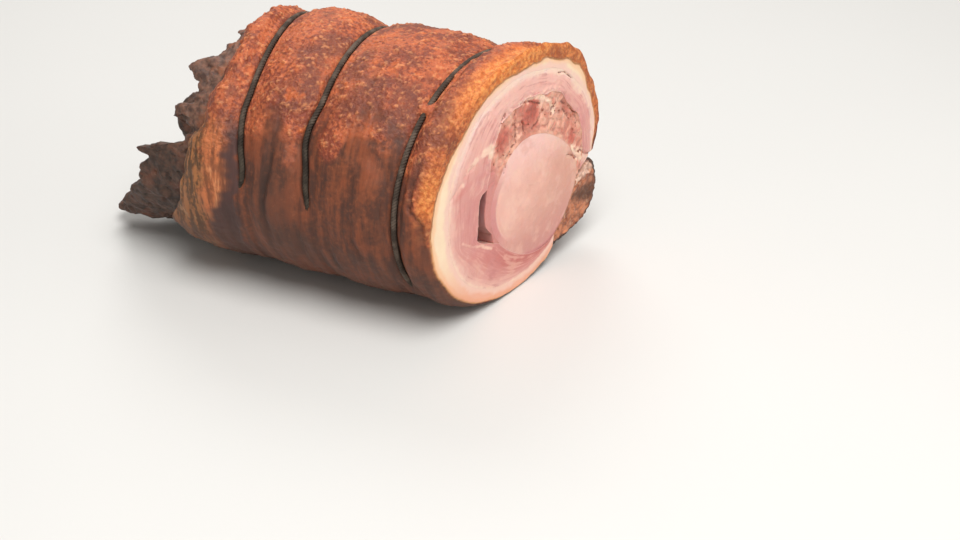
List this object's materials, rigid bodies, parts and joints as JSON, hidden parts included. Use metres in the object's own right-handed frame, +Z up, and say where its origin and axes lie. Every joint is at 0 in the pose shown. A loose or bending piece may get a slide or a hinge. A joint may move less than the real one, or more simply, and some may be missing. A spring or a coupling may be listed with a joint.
{
  "type": "porchetta roll",
  "caption": "Rolled and tied roast of pork with crisp skin, cut open at one end to show fat, belly meat, seasoned filling and lean core.",
  "frame": {"origin": "middle of the underside that the roll rests on: the bottom centre of its box", "axes": "+X along the roll towards the cut face, +Y across the roll to the right of someone who looks at the cut face, +Z up"},
  "size_m": [0.2567, 0.1535, 0.1418],
  "materials": {
    "crisp_skin": "blistered, browned pork skin with a greasy sheen over a layer of cream fat",
    "belly_meat": "moist cooked pink pork with fine grain and fat streaks",
    "filling": "coarse red-brown seasoned trimmings with herbs",
    "lean_meat": "smooth pale cooked pork loin",
    "roasted_meat": "crumbly dark roasted meat",
    "string": "charred twisted cotton twine"
  },
  "bodies": {
    "root": {"fat_cap": "crisp_skin", "belly": "belly_meat", "filling": "filling", "loin": "lean_meat", "flap": "roasted_meat", "string_1": "string", "string_2": "string", "string_3": "string"}
  },
  "joints": []
}
